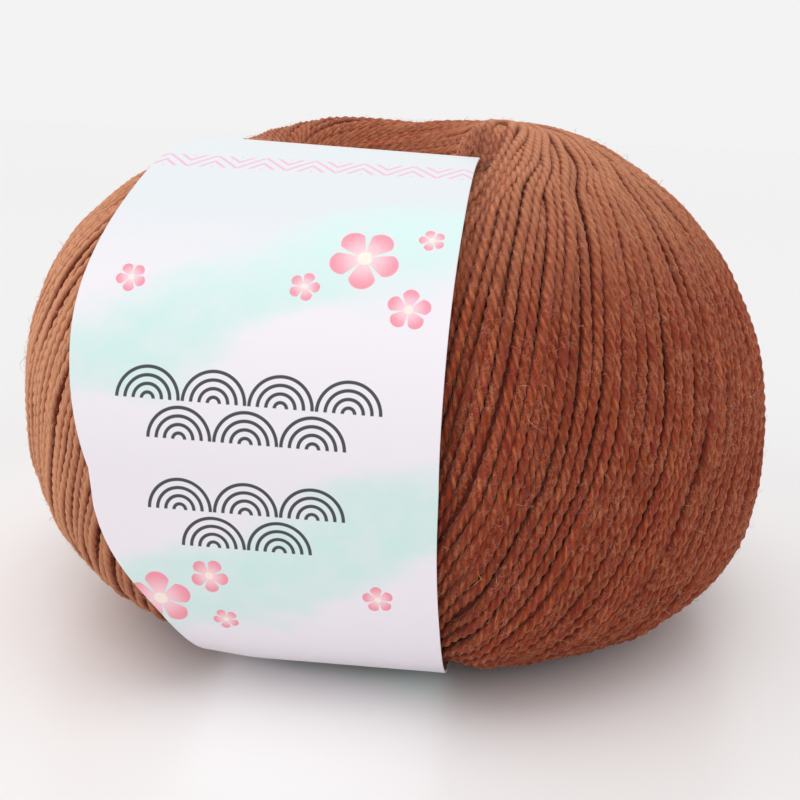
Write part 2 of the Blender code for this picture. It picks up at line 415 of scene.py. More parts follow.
class Tree:
    """A node tree being wired, with short ways to add and join its nodes."""

    def __init__(self, tree: bpy.types.NodeTree) -> None:
        """Starts from an existing tree."""
        self.tree = tree

    def add(
        self, kind: str, feeds: dict[int | str, object] | None = None, **settings: object
    ) -> bpy.types.Node:
        """Adds a node.

        Args:
            kind: Blender's name for the node type.
            feeds: Value or socket for each input, by the input's name or place.
            **settings: Properties of the node itself.

        Returns:
            The new node.
        """
        node = self.tree.nodes.new(kind)
        for name, value in settings.items():
            setattr(node, name, value)
        for key, value in (feeds or {}).items():
            self.feed(node.inputs[key], value)
        return node

    def feed(self, socket: Socket, value: object) -> None:
        """Joins a socket to an input, or sets the input's own value."""
        if isinstance(value, Socket):
            self.tree.links.new(value, socket)
        else:
            socket.default_value = value

    def math(
        self, operation: str, first: object, second: object = 0.0, third: object = 0.0
    ) -> Socket:
        """Result of a Math node on up to three numbers."""
        node = self.add("ShaderNodeMath", {0: first, 1: second}, operation=operation)
        if len(node.inputs) > 2:
            self.feed(node.inputs[2], third)
        return node.outputs[0]

    def vector_math(self, operation: str, first: object, second: object) -> Socket:
        """Result of a Vector Math node on two vectors."""
        node = self.add("ShaderNodeVectorMath", {0: first, 1: second}, operation=operation)
        return node.outputs[0]

    def times(self, first: object, second: object) -> Socket:
        """Product of two numbers."""
        return self.math("MULTIPLY", first, second)

    def scaled(self, vector: object, factor: object) -> Socket:
        """Vector made longer or shorter."""
        feeds = {0: vector, "Scale": factor}
        return self.add("ShaderNodeVectorMath", feeds, operation="SCALE").outputs[0]

    def length(self, vector: object) -> Socket:
        """Length of a vector."""
        node = self.add("ShaderNodeVectorMath", {0: vector}, operation="LENGTH")
        return node.outputs["Value"]

    def triple(self, first: object, second: object, third: object) -> Socket:
        """Vector of three numbers."""
        return self.add("ShaderNodeCombineXYZ", {0: first, 1: second, 2: third}).outputs[0]

    def parts(self, vector: object) -> bpy.types.bpy_prop_collection:
        """The three numbers of a vector."""
        return self.add("ShaderNodeSeparateXYZ", {0: vector}).outputs

    def ramp(self, value: object, low: float, high: float) -> Socket:
        """0 up to low, 1 from high on and a soft rise between them; low may be the larger."""
        feeds = {0: value, 1: low, 2: high}
        return self.add(
            "ShaderNodeMapRange", feeds, interpolation_type="SMOOTHSTEP"
        ).outputs[0]

    def blend(self, share: object, first: object, second: object, mode: str = "MIX") -> Socket:
        """Colour between two colours."""
        feeds = {0: share, 6: first, 7: second}
        node = self.add("ShaderNodeMix", feeds, data_type="RGBA", blend_type=mode)
        return node.outputs[2]

    def noise(self, vector: object, scale: float, detail: float = 2.0) -> Socket:
        """Value of a noise texture."""
        feeds = {"Vector": vector, "Scale": scale, "Detail": detail}
        return self.add("ShaderNodeTexNoise", feeds).outputs[0]

    def attribute(self, name: str, output: str = "Fac") -> Socket:
        """Output of a mesh attribute in a material."""
        node = self.add("ShaderNodeAttribute", attribute_name=name)
        return node.outputs[output]

    def object_place(self) -> Socket:
        """Place on the object in a material, in metres."""
        return self.add("ShaderNodeTexCoord").outputs["Object"]

    def raise_relief(
        self, shader: bpy.types.Node, height: object, strength: float, depth: float
    ) -> None:
        """Joins a height to a shader as fine relief."""
        feeds = {"Strength": strength, "Distance": depth, "Height": height}
        self.feed(shader.inputs["Normal"], self.add("ShaderNodeBump", feeds).outputs[0])

    def store(self, geometry: object, name: str, value: object, kind: str = "FLOAT") -> Socket:
        """Geometry with a value kept on its points."""
        feeds = {"Geometry": geometry, "Name": name, "Value": value}
        node = self.add("GeometryNodeStoreNamedAttribute", feeds, data_type=kind, domain="POINT")
        return node.outputs[0]

    def stored(self, name: str, kind: str = "FLOAT") -> Socket:
        """A value kept on the points."""
        node = self.add("GeometryNodeInputNamedAttribute", {"Name": name}, data_type=kind)
        return next(out for out in node.outputs if out.enabled and out.name == "Attribute")

    def hand_over(self, geometry: object, finish: object) -> None:
        """Ends a geometry tree with one smooth mesh in its finish."""
        smooth = self.add("GeometryNodeSetShadeSmooth", {"Geometry": geometry}).outputs[0]
        whole = self.add("GeometryNodeRealizeInstances", {"Geometry": smooth}).outputs[0]
        feeds = {"Geometry": whole, "Material": finish}
        dressed = self.add("GeometryNodeSetMaterial", feeds).outputs[0]
        self.add("NodeGroupOutput", {0: dressed})


def group_tree(kind: str, name: str, inputs: dict[str, str], outputs: dict[str, str]) -> Tree:
    """Makes a node group with named inputs and outputs.

    Args:
        kind: Blender's name for the tree type.
        name: Name of the group.
        inputs: Kind of each input's socket, by the input's name.
        outputs: Kind of each output's socket, by the output's name.

    Returns:
        The new tree, with no nodes yet.
    """
    made = bpy.data.node_groups.new(name, kind)
    for direction, sockets in (("INPUT", inputs), ("OUTPUT", outputs)):
        for title, socket in sockets.items():
            made.interface.new_socket(
                title, in_out=direction, socket_type=f"NodeSocket{socket}")
    return Tree(made)


def run_tree(source: bpy.types.Object, tree: Tree, values: dict[str, object]) -> bpy.types.Mesh:
    """Runs a geometry tree on an object and keeps the plain result.

    Args:
        source: Object whose mesh the tree starts from.
        tree: The geometry tree.
        values: Value of each named input.

    Returns:
        The finished mesh. The modifier and the source object are gone.
    """
    modifier = source.modifiers.new("nodes", "NODES")
    modifier.node_group = tree.tree
    for item in tree.tree.interface.items_tree:
        if item.item_type == "SOCKET" and item.in_out == "INPUT" and item.name in values:
            modifier[item.identifier] = values[item.name]
    graph = bpy.context.evaluated_depsgraph_get()
    mesh = bpy.data.meshes.new_from_object(
        source.evaluated_get(graph), preserve_all_data_layers=True, depsgraph=graph
    )
    source.modifiers.remove(modifier)
    bpy.data.objects.remove(source, do_unlink=True)
    return mesh


# ---- finishes ----------------------------------------------------------------------------


def principled(name: str, roughness: float) -> tuple[bpy.types.Material, Tree, bpy.types.Node]:
    """A new material, its tree and its Principled shader."""
    made = bpy.data.materials.new(name)
    made.use_nodes = True
    shader = made.node_tree.nodes["Principled BSDF"]
    shader.inputs["Roughness"].default_value = roughness
    shader.inputs["Metallic"].default_value = 0.0
    return made, Tree(made.node_tree), shader


@dataclass(frozen=True)
class Streaks:
    """Noise drawn out along a ply: its scale, its rates across and along, and its detail."""

    scale: float
    across: float
    along: float
    detail: float

    def on(self, tree: Tree, fibre: object) -> Socket:
        """Value of the noise at a place on the ply."""
        place = tree.vector_math("MULTIPLY", fibre, (self.across, self.across, self.along))
        return tree.noise(place, self.scale, self.detail)


@dataclass(frozen=True)
class WoolFinish:
    """Dyed wool: warm brown plies whose fibres catch the light, with painted shade between the
    plies and on their sides.

    Each pair of limits is where a tone starts to show and where it shows in full.
    """

    light: Colour = (0.445, 0.120, 0.048, 1.0)
    middle: Colour = (0.32, 0.048, 0.012, 1.0)
    crimson: Colour = (0.285, 0.036, 0.020, 1.0)
    painted_light_pale: Colour = (0.76, 0.37, 0.205, 1.0)
    dark: Colour = (0.145, 0.022, 0.012, 1.0)
    core: Colour = (0.27, 0.046, 0.019, 1.0)
    hair: Colour = (0.86, 0.52, 0.34, 1.0)
    curl: Colour = (0.74, 0.36, 0.22, 1.0)
    sheen_tint: Colour = (1.0, 0.62, 0.40, 1.0)
    roughness: float = 0.92
    shine: float = 0.2
    sheen: float = 0.2
    sheen_roughness: float = 0.4
    relief: float = 0.8
    fibre_depth: float = 0.14 * MM
    core_depth: float = 0.4 * MM
    core_lines: Pair = (40.0, 1.5)  # scale and waviness
    turn_shift: float = 0.7
    coarse: Streaks = Streaks(3600.0, 1.0, 0.22, 2.0)
    fine: Streaks = Streaks(9000.0, 1.0, 0.12, 2.0)
    tufts: Streaks = Streaks(2200.0, 1.0, 0.4, 2.0)
    reds: Streaks = Streaks(1500.0, 0.5, 0.35, 1.0)
    coarse_share: float = 0.6
    light_limits: Pair = (0.40, 0.66)
    red_limits: Pair = (0.50, 0.64)
    red_share: float = 0.8
    streak_limits: Pair = (0.56, 0.36)
    streak_share: float = 0.6
    ragged: float = 1.1
    # Painted shade: where the plies are darkened on their inward sides, and in the grooves between
    # them.
    sunk_limits: Pair = (0.86, 0.18)
    sunk_share: float = 0.80
    painted_groove_shade_limits: Pair = (0.25, 0.95)
    painted_groove_shade_share: float = 0.66
    curl_share: float = 0.24
    curls: tuple[Pair, ...] = (
        # (scale, width)
        (520.0, 0.012),
        (900.0, 0.020),
        (1500.0, 0.026),
    )
    patch_scale: float = 420.0
    patch_limits: Pair = (0.36, 0.62)
    turn_marks: float = 7.0
    turn_tone: Pair = (0.26, 0.87)  # its spread, and its least
    # Painted light: the wool is painted paler where light falls, at the left and above, on the
    # turns' outer side, and most at the front; it stands in for light caught by the fuzz.
    pale_left: Pair = (-14.0 * MM, -38.0 * MM)
    pale_above: Pair = (36.0 * MM, 57.0 * MM)
    pale_front: Pair = (18.0 * MM, -14.0 * MM)
    pale_outside: Pair = (0.15, 1.0)
    pale_left_share: float = 1.5
    pale_front_share: float = 0.75
    pale_share: float = 0.56
    hair_scale: float = 900.0
    hair_limits: Pair = (0.35, 0.65)

    def _fibre_group(self) -> Tree:
        """Colour and relief of the fibres in one ply, with painted shade on the ply's sides and in
        its grooves.
        """
        colours = {name: "Color" for name in ("Light", "Middle", "Crimson", "Dark")}
        tree = group_tree(
            "ShaderNodeTree",
            "wool_fibres",
            {"Fibre": "Vector", "Turn": "Float", "Groove": "Float", "Height": "Float", **colours},
            {"Colour": "Color", "Relief": "Float"},
        )
        given = tree.add("NodeGroupInput").outputs
        shift = tree.triple(tree.times(given["Turn"], self.turn_shift), 0.0, 0.0)
        fibre = tree.vector_math("ADD", given["Fibre"], shift)
        strands = tree.math("ADD", tree.times(self.coarse.on(tree, fibre), self.coarse_share),
                            tree.times(self.fine.on(tree, fibre), 1.0 - self.coarse_share))
        lit = tree.ramp(self.tufts.on(tree, fibre), *self.light_limits)
        body = tree.blend(lit, given["Middle"], given["Light"])
        red = tree.times(tree.ramp(self.reds.on(tree, fibre), *self.red_limits), self.red_share)
        body = tree.blend(red, body, given["Crimson"])
        streak = tree.times(tree.ramp(strands, *self.streak_limits), self.streak_share)
        streaked = tree.blend(streak, body, given["Dark"])
        # Painted shade: the plies are darkened where they face inwards and in the grooves between
        # them.
        ragged = tree.math("MULTIPLY_ADD", tree.math("SUBTRACT", strands, 0.5), self.ragged,
                           given["Height"])
        sunk = tree.times(tree.ramp(ragged, *self.sunk_limits), self.sunk_share)
        groove = tree.times(tree.ramp(given["Groove"], *self.painted_groove_shade_limits), self.painted_groove_shade_share)
        colour = tree.blend(tree.math("MAXIMUM", sunk, groove), streaked, given["Dark"])
        tree.add("NodeGroupOutput", {"Colour": colour, "Relief": strands})
        return tree

    def _curl_group(self) -> Tree:
        """Mask of fine stray fibres that curl over the turns."""
        tree = group_tree("ShaderNodeTree", "stray_curls", {"Place": "Vector"},
                          {"Curls": "Float"})
        place = tree.add("NodeGroupInput").outputs["Place"]
        total: object = 0.0
        for scale, width in self.curls:
            level = tree.noise(place, scale, 1.0)
            away = tree.math("ABSOLUTE", tree.math("SUBTRACT", level, 0.5))
            total = tree.math("MAXIMUM", total, tree.ramp(away, width, 0.0))
        patches = tree.ramp(tree.noise(place, self.patch_scale), *self.patch_limits)
        tree.add("NodeGroupOutput", {"Curls": tree.times(total, patches)})
        return tree

    def _painted_light_share(self, tree: Tree, place: object, height: object) -> Socket:
        """How far the wool is painted paler at each place on the ball: painted light at the left
        and above, least at the back.
        """
        parts = tree.parts(place)
        left = tree.times(tree.ramp(parts[0], *self.pale_left), self.pale_left_share)
        pale = tree.math("MAXIMUM", tree.ramp(parts[2], *self.pale_above), left)
        pale = tree.times(pale, tree.ramp(height, *self.pale_outside))
        front = tree.math("MULTIPLY_ADD", tree.ramp(parts[1], *self.pale_front),
                          self.pale_front_share, 1.0 - self.pale_front_share)
        return tree.times(tree.times(pale, front), self.pale_share)

    def turns(self) -> bpy.types.Material:
        """Finish of the plied turns."""
        made, tree, shader = principled("wool_turns", self.roughness)
        lengthwise = tree.triple(0.0, 0.0, tree.attribute("along"))
        turn, height = tree.attribute("turn"), tree.attribute("height")
        feeds = {
            "Fibre": tree.vector_math("ADD", tree.attribute("around", "Vector"), lengthwise),
            "Turn": turn,
            "Groove": tree.attribute("groove"),
            "Height": height,
            "Light": self.light,
            "Middle": self.middle,
            "Crimson": self.crimson,
            "Dark": self.dark,
        }
        fibres = tree.add("ShaderNodeGroup", feeds, node_tree=self._fibre_group().tree).outputs
        mark = tree.math("FRACT", tree.times(turn, self.turn_marks))
        tone = tree.math("MULTIPLY_ADD", mark, *self.turn_tone)
        tint = tree.add("ShaderNodeCombineColor", {0: tone, 1: tone, 2: tone}).outputs[0]
        colour = tree.blend(1.0, fibres["Colour"], tint, "MULTIPLY")
        place = tree.object_place()
        # Painted light: the wool blended paler at the left and above.
        colour = tree.blend(self._painted_light_share(tree, place, height), colour, self.painted_light_pale)
        curls = tree.add("ShaderNodeGroup", {"Place": place}, node_tree=self._curl_group().tree)
        share = tree.times(curls.outputs["Curls"], self.curl_share)
        tree.feed(shader.inputs["Base Color"], tree.blend(share, colour, self.curl))
        tree.raise_relief(shader, fibres["Relief"], self.relief, self.fibre_depth)
        self._soften(shader)
        return made

    def _soften(self, shader: bpy.types.Node) -> None:
        """Sets the dull surface, and the soft glow of loose fibres seen edge on."""
        shader.inputs["Specular IOR Level"].default_value = self.shine
        shader.inputs["Sheen Weight"].default_value = self.sheen
        shader.inputs["Sheen Roughness"].default_value = self.sheen_roughness
        shader.inputs["Sheen Tint"].default_value = self.sheen_tint

    def under(self) -> bpy.types.Material:
        """Finish of the buried winding that shows between the turns."""
        made, tree, shader = principled("wool_core", self.roughness)
        place = tree.add("ShaderNodeUVMap", uv_map="UVMap").outputs[0]
        scale, waviness = self.core_lines
        feeds = {"Vector": place, "Scale": scale, "Distortion": waviness}
        lines = tree.add("ShaderNodeTexWave", feeds).outputs["Fac"]
        # Painted shade: the wave lines darken the buried winding between its strands.
        tree.feed(shader.inputs["Base Color"], tree.blend(lines, self.core, self.dark))
        tree.raise_relief(shader, lines, self.relief, self.core_depth)
        self._soften(shader)
        return made

    def fuzz(self) -> bpy.types.Material:
        """Finish of the loose hairs."""
        made, tree, shader = principled("wool_hair", self.roughness)
        noise = tree.noise(tree.object_place(), self.hair_scale, 1.0)
        tone = tree.ramp(noise, *self.hair_limits)
        tree.feed(shader.inputs["Base Color"], tree.blend(tone, self.middle, self.hair))
        self._soften(shader)
        return made


@dataclass(frozen=True)
class Blossom:
    """One printed flower: its middle on the band, its size and how it is turned."""

    across: float
    along: float
    size: float
    turn: float


@dataclass(frozen=True)
class PaperFinish:
    """Printed paper: soft green washes, pink blossoms, a zigzag border and scallops.

    Places on the print are in millimetres. Those across fall leftwards from 36 at the band's
    right edge, and those along run from the lowest crest over the front. Each pair of limits
    is where a tone starts to show and where it shows in full.
    """

    ground: Colour = (0.835, 0.79, 0.845, 1.0)
    # Painted shade: the ground is darker towards the top crest, where the band faces the light from
    # above.
    ground_top_painted_shade: Colour = (0.68, 0.72, 0.745, 1.0)
    wash: Colour = (0.60, 0.80, 0.77, 1.0)
    pink: Colour = (0.87, 0.27, 0.36, 1.0)
    pale_pink: Colour = (0.92, 0.60, 0.66, 1.0)
    border_pink: Colour = (0.80, 0.44, 0.58, 1.0)
    cream: Colour = (0.93, 0.80, 0.70, 1.0)
    ink: Colour = (0.045, 0.05, 0.06, 1.0)
    back: Colour = (0.88, 0.88, 0.90, 1.0)
    roughness: float = 0.46
    relief: float = 0.25
    tooth: Pair = (3500.0, 0.02 * MM)  # its scale and depth
    back_scale: float = 700.0
    back_limits: Pair = (0.3, 0.7)
    wash_stretch: tuple[float, float, float] = (0.06, 0.11, 0.0)
    wash_detail: float = 4.0
    wash_slant: float = -0.45
    wash_drift: float = 14.0
    wash_period: float = 27.0
    wash_limits: Pair = (0.0, 0.95)
    wash_end: Pair = (78.5, 74.0)
    grain_noise: Pair = (0.35, 3.0)  # its scale and detail
    grain_tone: Pair = (0.9, 0.4)  # its spread, and its least
    # Where the ground's painted shade starts and where it is full, along the band.
    top_painted_shade_limits: Pair = (58.0, 74.0)
    border: Pair = (77.4, 80.0)
    border_drop: float = 0.4
    border_period: float = 5.0
    border_step: float = 1.3
    border_slope: float = 0.062
    border_line: Pair = (0.28, 0.12)
    border_blur: float = 0.08
    scallop: float = 3.1
    scallop_step: float = 0.78
    scallop_margin: float = 0.2
    scallop_line: Pair = (0.20, 0.12)
    scallop_blur: float = 0.05
    rim_blur: float = 0.03
    petals: int = 5
    petal_roundness: float = 0.6
    petal_depth: float = 0.42
    petal_blur: float = 0.05
    notch_rate: float = 0.35
    notch_blur: float = 0.12
    heart_limits: Pair = (0.24, 0.18)
    fade_limits: Pair = (0.15, 1.0)
    scallop_rows: tuple[tuple[float, float, int], ...] = (
        # (middle across, foot along, how many)
        (18.4, 51.4, 4),
        (18.4, 47.9, 3),
        (18.4, 41.2, 3),
        (18.4, 37.7, 2),
    )
    blossoms: tuple[Blossom, ...] = (
        Blossom(27.5, 66.5, 3.4, 0.3),
        Blossom(32.2, 61.5, 2.1, 1.0),
        Blossom(22.4, 63.0, 1.5, 0.0),
        Blossom(33.4, 69.2, 1.3, 0.6),
        Blossom(9.5, 31.5, 3.2, 0.9),
        Blossom(14.6, 34.6, 1.9, 0.2),
        Blossom(15.6, 29.4, 1.3, 0.5),
        Blossom(6.0, 62.6, 1.5, 0.4),
        Blossom(30.5, 33.4, 1.5, 0.8),
    )

    def _blossom_group(self) -> Tree:
        """Masks of one five-petal flower."""
        tree = group_tree(
            "ShaderNodeTree",
            "blossom",
            {"Place": "Vector", "Middle": "Vector", "Size": "Float", "Turn": "Float"},
            {"Petals": "Float", "Heart": "Float", "Fade": "Float"},
        )
        given = tree.add("NodeGroupInput").outputs
        away = tree.vector_math("SUBTRACT", given["Place"], given["Middle"])
        parts = tree.parts(away)
        share = tree.math("DIVIDE", tree.length(away), given["Size"])
        angle = tree.math("ADD", tree.math("ARCTAN2", parts[1], parts[0]), given["Turn"])
        lobes = tree.math("COSINE", tree.times(angle, 0.5 * self.petals))
        lobes = tree.math("ABSOLUTE", lobes)
        edge = tree.math("MULTIPLY_ADD", tree.math("POWER", lobes, self.petal_roundness),
                         self.petal_depth, 1.0 - self.petal_depth)
        petals = tree.ramp(tree.math("SUBTRACT", edge, share), 0.0, self.petal_blur)
        cut = tree.math("SUBTRACT", lobes, tree.times(share, self.notch_rate))
        heart = tree.ramp(share, *self.heart_limits)
        whole = tree.math("MAXIMUM", tree.ramp(cut, 0.0, self.notch_blur), heart)
        fade = tree.ramp(share, *self.fade_limits)
        feeds = {"Petals": tree.times(petals, whole), "Heart": heart, "Fade": fade}
        tree.add("NodeGroupOutput", feeds)
        return tree

    def _border(self, tree: Tree, parts: object) -> Socket:
        """Mask of the nested zigzag lines that run across the band."""
        low, high = self.border
        step = tree.math("FRACT", tree.math("DIVIDE", parts[0], self.border_period))
        tooth = tree.times(tree.math("ABSOLUTE", tree.math("SUBTRACT", step, 0.5)), 2.0)
        foot = tree.math("MULTIPLY_ADD", parts[0], self.border_slope, low - self.border_drop)
        level = tree.math("SUBTRACT", parts[1], foot)
        offset = tree.math("MULTIPLY_ADD", tooth, low - high, level)
        nested = tree.math("WRAP", offset, 0.5 * self.border_step, -0.5 * self.border_step)
        line = tree.ramp(tree.math("ABSOLUTE", nested), *self.border_line)
        blur = self.border_blur
        above = tree.ramp(level, -blur, blur)
        below = tree.ramp(level, high - low + blur, high - low - blur)
        return tree.times(line, tree.times(above, below))

    def _scallops(self, tree: Tree, parts: object) -> Socket:
        """Mask of rows of scallops, each a fan of nested arcs."""
        total: object = 0.0
        size, step = self.scallop, self.scallop_step
        for across, foot, count in self.scallop_rows:
            first = tree.math("SUBTRACT", parts[0], across)
            shift = 0.0 if count % 2 else size
            cell = tree.math("WRAP", tree.math("ADD", first, shift), size, -size)
            level = tree.math("SUBTRACT", parts[1], foot)
            reach = tree.length(tree.triple(cell, level, 0.0))
            inward = tree.math("SUBTRACT", reach, size - self.scallop_margin)
            nested = tree.math("WRAP", inward, 0.5 * step, -0.5 * step)
            line = tree.ramp(tree.math("ABSOLUTE", nested), *self.scallop_line)
            end = count * size
            for value, low, high in (
                (reach, size + self.rim_blur, size - self.rim_blur),
                (level, -self.scallop_blur, self.scallop_blur),
                (tree.math("ABSOLUTE", first), end, end - self.scallop_blur),
            ):
                line = tree.times(line, tree.ramp(value, low, high))
            total = tree.math("MAXIMUM", total, line)
        return total

    def printed(self, width: float, length: float) -> bpy.types.Material:
        """Finish of the band's face.

        Args:
            width: Width that the UV map's first axis spans, in metres.
            length: Length of the loop that its second axis spans.

        Returns:
            The material.
        """
        made, tree, shader = principled("printed_paper", self.roughness)
        place = tree.add("ShaderNodeUVMap", uv_map="UVMap").outputs[0]
        flat = tree.vector_math("MULTIPLY", place, (width / MM, length / MM, 0.0))
        parts = tree.parts(flat)
        colour = self._washes(tree, flat, parts)
        flower = self._blossom_group().tree
        for bloom in self.blossoms:
            feeds = {"Place": flat, "Middle": (bloom.across, bloom.along, 0.0),
                     "Size": bloom.size, "Turn": bloom.turn}
            masks = tree.add("ShaderNodeGroup", feeds, node_tree=flower).outputs
            petal = tree.blend(masks["Fade"], self.pale_pink, self.pink)
            petal = tree.blend(masks["Heart"], petal, self.cream)
            colour = tree.blend(masks["Petals"], colour, petal)
        colour = tree.blend(self._border(tree, parts), colour, self.border_pink)
        colour = tree.blend(self._scallops(tree, parts), colour, self.ink)
        tree.feed(shader.inputs["Base Color"], colour)
        self._roughen(tree, shader)
        return made

    def _washes(self, tree: Tree, flat: Socket, parts: object) -> Socket:
        """Ground colour, with painted shade towards the top crest, and soft green washes that drift
        slantwise over it.
        """
        stretched = tree.vector_math("MULTIPLY", flat, self.wash_stretch)
        cloud = tree.noise(stretched, 1.0, self.wash_detail)
        slant = tree.math("ADD", parts[1], tree.times(parts[0], self.wash_slant))
        drift = tree.math("MULTIPLY_ADD", cloud, self.wash_drift, slant)
        wave = tree.math("SINE", tree.times(drift, math.tau / self.wash_period))
        share = tree.times(tree.ramp(wave, *self.wash_limits),
                           tree.ramp(parts[1], *self.wash_end))
        grain = tree.math("MULTIPLY_ADD", tree.noise(flat, *self.grain_noise), *self.grain_tone)
        # Painted shade on the ground towards the top crest.
        top = tree.ramp(parts[1], *self.top_painted_shade_limits)
        ground = tree.blend(top, self.ground, self.ground_top_painted_shade)
        return tree.blend(tree.times(share, grain), ground, self.wash)

    def _tooth_group(self) -> bpy.types.NodeTree:
        """Height of the paper's fine tooth, made once for both of its finishes."""
        name = "paper_tooth"
        if name in bpy.data.node_groups:
            return bpy.data.node_groups[name]
        tree = group_tree("ShaderNodeTree", name, {"Place": "Vector", "Scale": "Float"},
                          {"Height": "Float"})
        given = tree.add("NodeGroupInput").outputs
        height = tree.noise(given["Place"], given["Scale"])
        tree.add("NodeGroupOutput", {"Height": height})
        return tree.tree

    def _roughen(self, tree: Tree, shader: bpy.types.Node) -> None:
        """Gives a finish the paper's fine tooth."""
        scale, depth = self.tooth
        feeds = {"Place": tree.object_place(), "Scale": scale}
        height = tree.add("ShaderNodeGroup", feeds, node_tree=self._tooth_group()).outputs[0]
        tree.raise_relief(shader, height, self.relief, depth)

    def plain(self) -> bpy.types.Material:
        """Finish of the paper's back and cut edges."""
        made, tree, shader = principled("plain_paper", self.roughness)
        noise = tree.noise(tree.object_place(), self.back_scale)
        tone = tree.ramp(noise, *self.back_limits)
        tree.feed(shader.inputs["Base Color"], tree.blend(tone, self.back, self.ground))
        self._roughen(tree, shader)
        return made


# ---- the wound yarn ----------------------------------------------------------------------


@dataclass(frozen=True)
class Hairs:
    """One kind of loose hair.

    Its lengths are in millimetres. Its radius is that of a hair one millimetre long, and
    grows with the length. Its lean is how far it is laid over, in degrees.
    """

    name: str
    density: float
    rings: int
    radius: float
    shortest: float
    longest: float
    lean: Pair


@dataclass
class WoundYarn:
    """The turns of plied yarn, the buried winding under them and the hairs on them."""

    form: BallForm
    loop: BandLoop
    finish: WoolFinish = field(default_factory=WoolFinish)
    turns: int = 230
    groups: int = 6
    plies: int = 4
    yarn_radius: float = 0.65 * MM
    radius_spread: float = 0.05
    uneven: float = 0.05
    uneven_points: int = 9  # of a route, from one change of thickness to the next
    lay: float = 5.3 * MM
    valley: float = 0.68
    fibre_reach: float = 0.75 * MM
    sunk_share: float = 1.0  # of the yarn's radius, from surface to the turn's middle
    floor_clear: float = 1.2  # of the yarn's radius, from floor to the turn's middle
    core_inset: float = 1.0 * MM
    second_layer: float = 0.55 * MM
    dive_depth: float = 1.2 * MM
    dive_ease: float = 0.20
    layer_room: float = 2.2
    close_in: float = 0.96
    pitch: float = 1.24 * MM
    gap_spread: float = 0.07
    bundle: tuple[int, int] = (4, 13)
    bundle_gap: float = 0.14
    lock: tuple[int, int] = (2, 4)
    lock_gap: float = 0.8
    lock_laps: Pair = (5.0, 78.0)
    lock_end: Pair = (120.0, 88.0)
    bunch_range: Pair = (0.5, 1.2)  # of the gap that a bunch leaves
    first_rank: float = 0.13
    wander: float = 0.12 * MM
    wander_waves: tuple[int, float] = (3, 3.0)  # how many, and the slowest in 360 degrees
    depth_spread: float = 0.20 * MM
    depth_waves: tuple[int, float] = (3, 2.0)
    ripple_share: float = 0.35
    ripple_waves: tuple[int, float] = (2, 14.0)
    wave_range: Pair = (0.8, 1.2)
    first_lap: float = -118.0
    last_lap: float = 142.0
    lap_step: float = 0.5
    fine_step: float = 0.62 * MM
    back_step: float = 0.86 * MM
    coarse_step: float = 2.4 * MM
    back_from: Pair = (4.0 * MM, 14.0 * MM)
    low_level: float = 2.6 * MM  # over the floor, and below it points stand further apart
    low_coarse: float = 0.5  # on the way from the fine step to the coarse one
    gone_under: float = 0.97
    fewest_points: int = 4
    seed: int = 7
    core_columns: int = 150
    core_steps: Pair = (4.0, 6.0)  # degrees of lap, outside and in the eye
    hair_columns: int = 96
    hair_laps: Pair = (-86.0, 150.0)
    hair_steps: Pair = (6.0, 10.0)
    hair_closing: tuple[float, ...] = (170.0, -170.0, -120.0)  # laps that close their skin
    hair_depth: float = 0.1 * MM
    # Where hairs start to stand and where they stand in full: how far the band hides the
    # yarn, height over the floor, and distance from the axis.
    hair_hidden: Pair = (0.3, 0.0)
    hair_level: Pair = (2.2 * MM, 5.0 * MM)
    hair_reach: Pair = (7.0 * MM, 14.0 * MM)
    # Where they stand closer together: above, and at the left.
    closer_above: Pair = (44.0 * MM, 55.0 * MM)
    closer_left: Pair = (-20.0 * MM, -38.0 * MM)
    closer_share: float = 0.8
    hair_bends: tuple[Pair, ...] = (
        # (bend to one side, sway to the other)
        (0.9, 0.15),
        (0.5, -0.25),
        (1.5, 0.3),
        (-0.3, 0.35),
    )
    hair_sway: float = 5.0  # radians of its sway, from a hair's root to its tip
    hair_drop: float = -0.25  # of its bend
    hairs: tuple[Hairs, ...] = (
        # (name, to a square metre, rings, radius, shortest, longest, lean in degrees)
        Hairs("yarn_hairs", 60000.0, 6, 0.010 * MM, 1.0, 2.4, (76.0, 92.0)),
        Hairs("yarn_fuzz", 760000.0, 2, 0.012 * MM, 0.5, 1.1, (58.0, 90.0)),
        Hairs("yarn_down", 2500000.0, 1, 0.013 * MM, 0.25, 0.6, (15.0, 80.0)),
    )
    pieces: list[bpy.types.Object] = field(default_factory=list)

    def _spread(self, chance: np.random.Generator, size: tuple[int, int], gap: float) -> np.ndarray:
        """Extra room after the last turn of each random bunch."""
        extra = np.zeros(self.turns)
        index = 0
        while index < self.turns:
            extra[index] = gap * chance.uniform(*self.bunch_range)
            index += int(chance.integers(*size))
        return extra

    def _azimuths(
        self, chance: np.random.Generator, under: np.ndarray, lap: np.ndarray
    ) -> np.ndarray:
        """Where each turn stands round the axis, bunched as wound yarn is.

        Args:
            chance: Source of the unevenness.
            under: How far each turn has gone under its neighbours, by turn and lap angle.
            lap: The lap angles. Towards the top crest the turns draw together in locks.

        Returns:
            Angle of each turn at each lap angle. Turns on top close in over the sunk ones.
        """
        gaps = 1.0 + self.gap_spread * chance.standard_normal(self.turns)
        gaps = gaps + self._spread(chance, self.bundle, self.bundle_gap)
        locks = self._spread(chance, self.lock, self.lock_gap)
        drawn = smooth_step(*self.lock_laps, lap) * smooth_step(*self.lock_end, lap)
        gaps = gaps[:, None] + locks[:, None] * drawn[None, :]
        gaps = gaps * (1.0 - self.close_in * under)
        return (np.cumsum(gaps, axis=0) - 0.5 * gaps) / gaps.sum(axis=0) * math.tau

